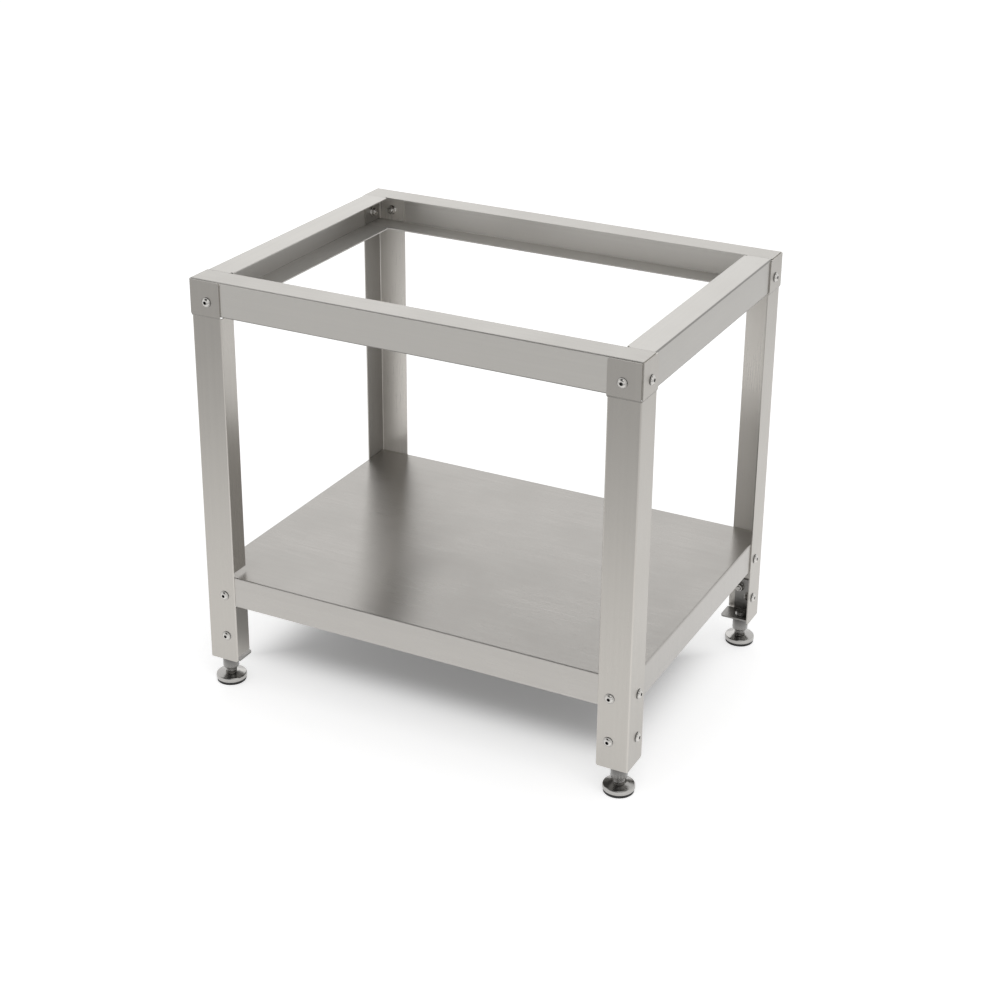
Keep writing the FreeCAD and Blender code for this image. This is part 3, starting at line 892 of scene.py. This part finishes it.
@dataclass
class Fasteners:
    """Button-head bolts with a collar and a hexagon socket, and their flange nuts."""

    collar_radius: float = 8.5 * MM
    collar_height: float = 1.2 * MM
    dome_radius: float = 7.0 * MM
    head_height: float = 4.6 * MM
    socket_key: float = 5.0 * MM
    socket_depth: float = 2.8 * MM
    socket_rim: float = 3.35 * MM
    shank_radius: float = 4.0 * MM
    thread_pitch: float = 1.25 * MM
    nut_key: float = 13.0 * MM
    nut_height: float = 8.0 * MM
    nut_bore: float = 4.1 * MM
    overrun: float = 1.5 * MM
    seat_gap: float = 0.5 * MM
    bevel: float = 0.3 * MM
    count: int = 48
    turn_between: float = 2.4

    def dome(self) -> Profile:
        """Draws the head's crown as part of an ellipse.

        Returns:
            Points from the collar up to the socket's rim.
        """
        base = self.collar_height + 0.15 * MM
        share = self.socket_rim / self.dome_radius
        rise = (self.head_height - base) / math.sqrt(1 - share**2)
        last = math.acos(share)
        steps = 9
        return [
            (self.dome_radius * math.cos(last * i / steps), base + rise * math.sin(last * i / steps))
            for i in range(steps + 1)
        ]

    def bolt_rings(self, grip: float) -> list[Ring]:
        """Draws a bolt from its threaded end up over the head and into the socket.

        Args:
            grip: Thickness of the sheets that the bolt joins.

        Returns:
            The bolt's rings. Its seat is at level 0 and its head above that.
        """
        collar, top = self.collar_radius, self.collar_height
        gap, bevel = self.seat_gap, self.bevel
        end = -(grip + self.nut_height + self.overrun)
        thread = Thread(self.shank_radius, self.thread_pitch, self.count)
        rings = [round_ring(0, end, self.count)]
        rings += thread.rings(end, -1.2 * MM)
        under = [(self.shank_radius, -0.9 * MM), (self.shank_radius, 0), (collar - gap, 0)]
        under += [(collar, gap), (collar, top - bevel), (collar - bevel, top)]
        under += [(self.dome_radius + 0.25 * MM, top + 0.02 * MM)]
        rings += turned_rings(under + self.dome(), self.count)
        floor = self.head_height - self.socket_depth
        rings.append(round_ring(self.socket_rim - 0.2 * MM, self.head_height - 0.03 * MM, self.count))
        rings.append(hexagon_ring(self.socket_key, self.head_height - 0.3 * MM, self.count))
        rings.append(hexagon_ring(self.socket_key, floor, self.count))
        rings.append(round_ring(self.socket_key / 2 - 0.2 * MM, floor - 0.05 * MM, self.count))
        rings.append(round_ring(0, floor - 0.7 * MM, self.count))
        return rings

    def bolt_shade(self, point: Vector) -> float:
        """Finds the painted shade of a bolt: in its socket, round its seat and on its collar's side.

        Args:
            point: A point of the bolt.

        Returns:
            How much painted shade there is.
        """
        radius, level = math.hypot(point.x, point.y), point.z
        if level < 0.0 or level > self.head_height - 0.2 * MM:
            return 0.0
        # Painted shade in the socket, in the seat's gap and on the collar's side.
        if radius < self.socket_rim - 0.3 * MM:
            return 0.95
        if radius > self.dome_radius + 0.5 * MM:
            return 0.95 if level < self.seat_gap + 0.1 * MM else 0.5
        return 0.0

    def nut_shade(self, point: Vector) -> float:
        """Finds the painted shade in the bore of a nut."""
        return 0.85 if math.hypot(point.x, point.y) < self.nut_bore + 0.1 * MM else 0.0

    def nut_rings(self) -> list[Ring]:
        """Draws a flange nut round its bore.

        Returns:
            The nut's rings, from the bore's foot round the outside and back down the bore.
        """
        flange, height, bore = self.collar_radius, self.nut_height, self.nut_bore
        bevel, lead_in = self.bevel, self.nut_bore + 0.5 * MM
        outside = [(lead_in, 0), (flange - bevel, 0), (flange, bevel)]
        outside += [(flange, 1.0 * MM), (flange - bevel, 1.3 * MM)]
        rings = turned_rings(outside, self.count)
        rings.append(hexagon_ring(self.nut_key, 2.0 * MM, self.count))
        for drop, reach in ((1.1, 1.15), (0.75, 0.8), (0.4, 0.4), (0.0, -0.2)):
            within = self.nut_key / 2 + reach * MM
            rings.append(hexagon_ring(self.nut_key, height - drop * MM, self.count, within))
        inside = [(lead_in, height), (bore, height - 0.5 * MM), (bore, 0.5 * MM), (lead_in, 0)]
        return rings + turned_rings(inside, self.count)

    def build_row(self, name: str, node: str, seats: list[Seat], rings: list[Ring],
                  shade_at: Shading) -> Piece:
        """Builds one row as a single piece of separate bolts or nuts.

        Args:
            name: Name of the piece.
            node: The CAD node that it stands for.
            seats: Where each bolt or nut goes.
            rings: The rings of one of them.
            shade_at: How dark it is at a point, from 0 to 1.

        Returns:
            The piece.
        """
        bench = MeshBench()
        for number, (seat, outward) in enumerate(seats):
            bench.loft(rings, facing(seat, outward, self.turn_between * number), shade_at)
        piece = bench.to_object(name)
        dress(piece, material_of(BOLT_STEEL))
        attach(piece, STAND)
        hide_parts(node)
        return piece

    def build(self) -> Iterator[Piece]:
        """Builds every row.

        Yields:
            Each row of bolts and of nuts.
        """
        for row in BOLT_ROWS:
            bolts, nuts = f"{row.group}_bolts", f"{row.group}_nuts"
            fronts = list(row.seats())
            backs = [(seat - outward * row.grip, -outward) for seat, outward in fronts]
            rings = self.bolt_rings(row.grip)
            yield self.build_row(f"{row.group}_button_bolts", bolts, fronts, rings, self.bolt_shade)
            rings = self.nut_rings()
            yield self.build_row(f"{row.group}_flange_nuts", nuts, backs, rings, self.nut_shade)


@dataclass
class LevellingFoot:
    """A foot: rubber pad, turned disc, threaded stem, and the boss that the stem turns in."""

    corner: Corner
    inset: float = 26 * MM
    pad_radius: float = 25.5 * MM
    pad_height: float = 4.5 * MM
    grooves: Pair = (11 * MM, 18 * MM)
    groove_depth: float = 0.9 * MM
    disc_radius: float = 27.0 * MM
    rim_top: float = 13.5 * MM
    rim_round: float = 2.2 * MM
    hub_radius: float = 12.0 * MM
    hub_top: float = 18.0 * MM
    spigot_radius: float = 6.0 * MM
    spigot_low: float = 10.0 * MM
    stem_radius: float = 10.0 * MM
    stem_top: float = 60.0 * MM
    stem_pitch: float = 2.5 * MM
    boss_radius: float = 14.0 * MM
    boss_low: float = 27.0 * MM
    boss_top: float = 52.0 * MM
    clearance: float = 0.1 * MM
    seat_gap: float = 0.05 * MM
    count: int = 64

    def pad_profile(self) -> Profile:
        """Draws the pad with round edges and two grip grooves in its underside.

        Returns:
            Points from the middle of the underside to the middle of the top.
        """
        r, top = self.pad_radius, self.pad_height
        points = [(0.0, 0.0)]
        for groove in self.grooves:
            points += [(groove - 1.4 * MM, 0.0), (groove - 0.8 * MM, self.groove_depth)]
            points += [(groove + 0.8 * MM, self.groove_depth), (groove + 1.4 * MM, 0.0)]
        points += [(r - 1.2 * MM, 0.0), (r - 0.5 * MM, 0.15 * MM), (r - 0.1 * MM, 0.6 * MM)]
        points += [(r, 1.2 * MM), (r, top - 0.4 * MM), (r - 0.3 * MM, top), (0.0, top)]
        return points

    def disc_profile(self) -> Profile:
        """Draws the disc: a convex rim, a shallow cone, a hub and the bore for the spigot.

        Returns:
            Points from the middle of the underside to the middle of the bore.
        """
        r, low, rim = self.disc_radius, self.pad_height, self.rim_top
        bore, floor = self.spigot_radius + self.clearance, self.spigot_low - 2 * self.clearance
        points = [(0.0, low), (r - 1.8 * MM, low)]
        steps = 10
        for i in range(steps + 1):
            turn = math.pi * (i / steps - 0.5)
            bulge = r - self.rim_round + self.rim_round * math.cos(turn)
            points.append((bulge, (low + rim) / 2 + (rim - low) / 2 * math.sin(turn)))
        points += [(r - 3.2 * MM, rim + 0.25 * MM)]
        points += [(self.hub_radius + 1.2 * MM, self.hub_top - 0.35 * MM)]
        points += [(self.hub_radius, self.hub_top), (bore + 0.4 * MM, self.hub_top)]
        return points + [(bore, self.hub_top - 0.4 * MM), (bore, floor), (0.0, floor)]

    def stem_rings(self) -> list[Ring]:
        """Draws the stem from its spigot up over the thread.

        Returns:
            The stem's rings, from the foot up.
        """
        spigot, low, shoulder = self.spigot_radius, self.spigot_low, self.hub_top + self.seat_gap
        foot = [(0.0, low), (spigot - 0.5 * MM, low), (spigot, low + 0.5 * MM), (spigot, shoulder)]
        foot += [(self.stem_radius - 1.8 * MM, shoulder)]
        thread = Thread(self.stem_radius, self.stem_pitch, self.count)
        rings = turned_rings(foot, self.count)
        rings += thread.rings(shoulder + 0.2 * MM, self.stem_top)
        rings.append(round_ring(0, self.stem_top, self.count))
        return rings

    def weld_ring(self, drop: float, reach: float) -> Ring:
        """Draws one ring of the rippled weld.

        Args:
            drop: How far it lies below the boss's top.
            reach: How far it stands out from the boss.

        Returns:
            The ring's points.
        """
        def radius_at(angle: float) -> float:
            """Radius of the weld, with its ripples."""
            return self.boss_radius + reach * (1 + 0.07 * math.sin(16 * angle))

        return ring_of(radius_at, self.boss_top - drop, self.count)

    def boss_rings(self) -> list[Ring]:
        """Draws the boss round its bore, with chamfers and a rippled weld at its top.

        Returns:
            The boss's rings, from the bore's foot round the outside and back down the bore.
        """
        r, low, top = self.boss_radius, self.boss_low, self.boss_top
        bore = self.stem_radius + self.clearance
        outside = [(bore + 0.8 * MM, low), (r - 1.0 * MM, low), (r - 0.3 * MM, low + 0.3 * MM)]
        outside += [(r, low + 1.0 * MM), (r, top - 4.0 * MM)]
        weld = [(3.2, 0.5), (2.2, 1.5), (1.1, 2.5), (0.0, 3.0)]
        inside = [(bore, top), (bore, low + 0.8 * MM), (bore + 0.8 * MM, low)]
        rings = turned_rings(outside, self.count)
        rings += [self.weld_ring(drop * MM, reach * MM) for drop, reach in weld]
        return rings + turned_rings(inside, self.count)

    def boss_shade(self, point: Vector) -> float:
        """Finds the boss's darkening: painted shade all over, and more at the weld with its heat tint.
        """
        return 0.75 if point.z > self.boss_top - 4.5 * MM else 0.3

    def stand_in(self, name: str, part: str, body: str, finish: Finish,
                 rings: list[Ring], shade_at: Shading = unshaded) -> Piece:
        """Makes a piece of the foot in the place of its CAD node.

        Args:
            name: Name of the piece without the corner.
            part: Name of the CAD node without the corner.
            body: Body that the piece moves with.
            finish: Its finish.
            rings: Its rings about the foot's axis.
            shade_at: How dark it is at a point, from 0 to 1.

        Returns:
            The piece.
        """
        bench = MeshBench()
        bench.loft(rings, Matrix.Identity(4), shade_at)
        piece = bench.to_object(f"{name}_{self.corner.label}")
        piece.location = self.corner.spot(self.inset)
        dress(piece, material_of(finish))
        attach(piece, body)
        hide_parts(f"{part}_{self.corner.label}")
        return piece

    def build(self) -> Iterator[Piece]:
        """Builds the foot.

        Yields:
            The pad, the disc, the stem and the boss.
        """
        disc, screw = f"foot_disc_{self.corner.label}", f"foot_screw_{self.corner.label}"
        rings = turned_rings(self.pad_profile(), self.count)
        yield self.stand_in("rubber_pad", "foot_pad", disc, FOOT_RUBBER, rings)
        rings = turned_rings(self.disc_profile(), self.count)
        yield self.stand_in("turned_disc", "foot_base", disc, FOOT_STEEL, rings)
        rings = self.stem_rings()
        yield self.stand_in("threaded_stem", "foot_stem", screw, THREAD_STEEL, rings)
        rings, shade = self.boss_rings(), self.boss_shade
        yield self.stand_in("welded_boss", "foot_boss", STAND, FOOT_STEEL, rings, shade)


@dataclass
class SheetParts:
    """The folded sheet parts, which stay as the CAD made them and get their finishes."""

    def build(self) -> Iterator[Piece]:
        """Dresses every CAD node that still shows, by the first name in the table that fits.

        Yields:
            Each dressed node.
        """
        for name, node in sorted(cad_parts.items()):
            if not node.hide_render:
                finishes = (SHEET_FINISHES[start] for start in SHEET_FINISHES if name.startswith(start))
                dress(node, material_of(next(finishes)))
                yield node


@dataclass(frozen=True)
class Lamp:
    """A square soft lamp, its power in watts, that points at the table."""

    name: str
    place: Triple
    size: float
    power: float
    aim: Triple = (0.0, 0.0, 0.4)

    def build(self) -> None:
        """Hangs the lamp."""
        data = bpy.data.lights.new(self.name, "AREA")
        data.size = self.size
        data.energy = self.power
        lamp = bpy.data.objects.new(self.name, data)
        lamp.location = self.place
        towards = Vector(self.aim) - Vector(self.place)
        lamp.rotation_euler = towards.to_track_quat("-Z", "Y").to_euler()
        bpy.context.scene.collection.objects.link(lamp)


LAMPS = (
    Lamp("front_lamp", (1.2, -1.2, 2.9), 2.0, 14.0),
    Lamp("back_lamp", (-1.3, 2.6, 2.2), 2.4, 8.0),
)


@dataclass
class Studio:
    """A plain pale floor, a white surround and large soft lamps.

    Attributes:
        ambient: How bright the surround is where it only lights things.
        ceiling: How bright the reflected ceiling is.
        towards_ceiling: Direction of the ceiling's middle.
    """

    floor_size: float = 60.0
    ambient: float = 0.6
    ceiling: float = 0.12
    towards_ceiling: Triple = (0.0, -0.4, 1.0)

    def build_floor(self) -> None:
        """Lays the floor."""
        half = self.floor_size / 2
        mesh = bpy.data.meshes.new("floor")
        corners = [(-half, -half, 0), (half, -half, 0), (half, half, 0), (-half, half, 0)]
        mesh.from_pydata(corners, [], [(0, 1, 2, 3)])
        floor = bpy.data.objects.new("floor", mesh)
        bpy.context.scene.collection.objects.link(floor)
        dress(floor, material_of(FLOOR_PAINT))

    def build_surround(self) -> None:
        """Makes the world white where it is seen and softer where it only lights."""
        world = bpy.data.worlds.new("surround")
        bpy.context.scene.world = world
        world.use_nodes = True
        background = next(node for node in world.node_tree.nodes if node.type == "BACKGROUND")
        bench = NodeBench(world.node_tree, background)
        bench.give("Color", (1.0, 1.0, 1.0, 1.0))
        direction = bench.add("ShaderNodeTexCoord").outputs["Generated"]
        upward = bench.vector("DOT_PRODUCT", direction, self.towards_ceiling)
        overhead = bench.ease(upward, 0.6, 0.9, 1.0, self.ceiling)
        seen, white = bench.seen_directly(), bench.unless_in_view(overhead)
        bench.give("Strength", bench.ease(seen, 0.0, 1.0, self.ambient, white, "LINEAR"))

    def build(self) -> None:
        """Builds the floor, the surround and the lamps."""
        self.build_floor()
        self.build_surround()
        for lamp in LAMPS:
            lamp.build()
        bpy.context.scene.view_settings.view_transform = "Standard"


@dataclass(frozen=True)
class ViewPoint:
    """The camera, at the place and with the lens that fit the table's corners."""

    place: Triple = (1.3796, -2.6688, 1.7436)
    turn_degrees: Triple = (67.618, -0.792, 26.454)
    sensor_width: float = 36.0
    lens: float = 68.474
    shift_x: float = -0.03
    shift_y: float = -0.1

    def build(self) -> None:
        """Sets up the camera and makes it the scene's own."""
        data = bpy.data.cameras.new("camera")
        data.sensor_width = self.sensor_width
        data.lens = self.lens
        data.shift_x = self.shift_x
        data.shift_y = self.shift_y
        camera = bpy.data.objects.new("camera", data)
        camera.location = self.place
        camera.rotation_euler = [math.radians(turn) for turn in self.turn_degrees]
        bpy.context.scene.collection.objects.link(camera)
        bpy.context.scene.camera = camera


def main() -> None:
    """Builds the table's looks in order, and reports each piece."""
    logging.basicConfig(level=logging.INFO, format="%(name)s: %(message)s")
    feet = [LevellingFoot(corner) for corner in Corner]
    for builder in (Fasteners(), *feet, SheetParts()):
        for piece in builder.build():
            log.info("%s has %d faces", piece.name, len(piece.data.polygons))
    Studio().build()
    ViewPoint().build()


if __name__ == "__main__":
    main()
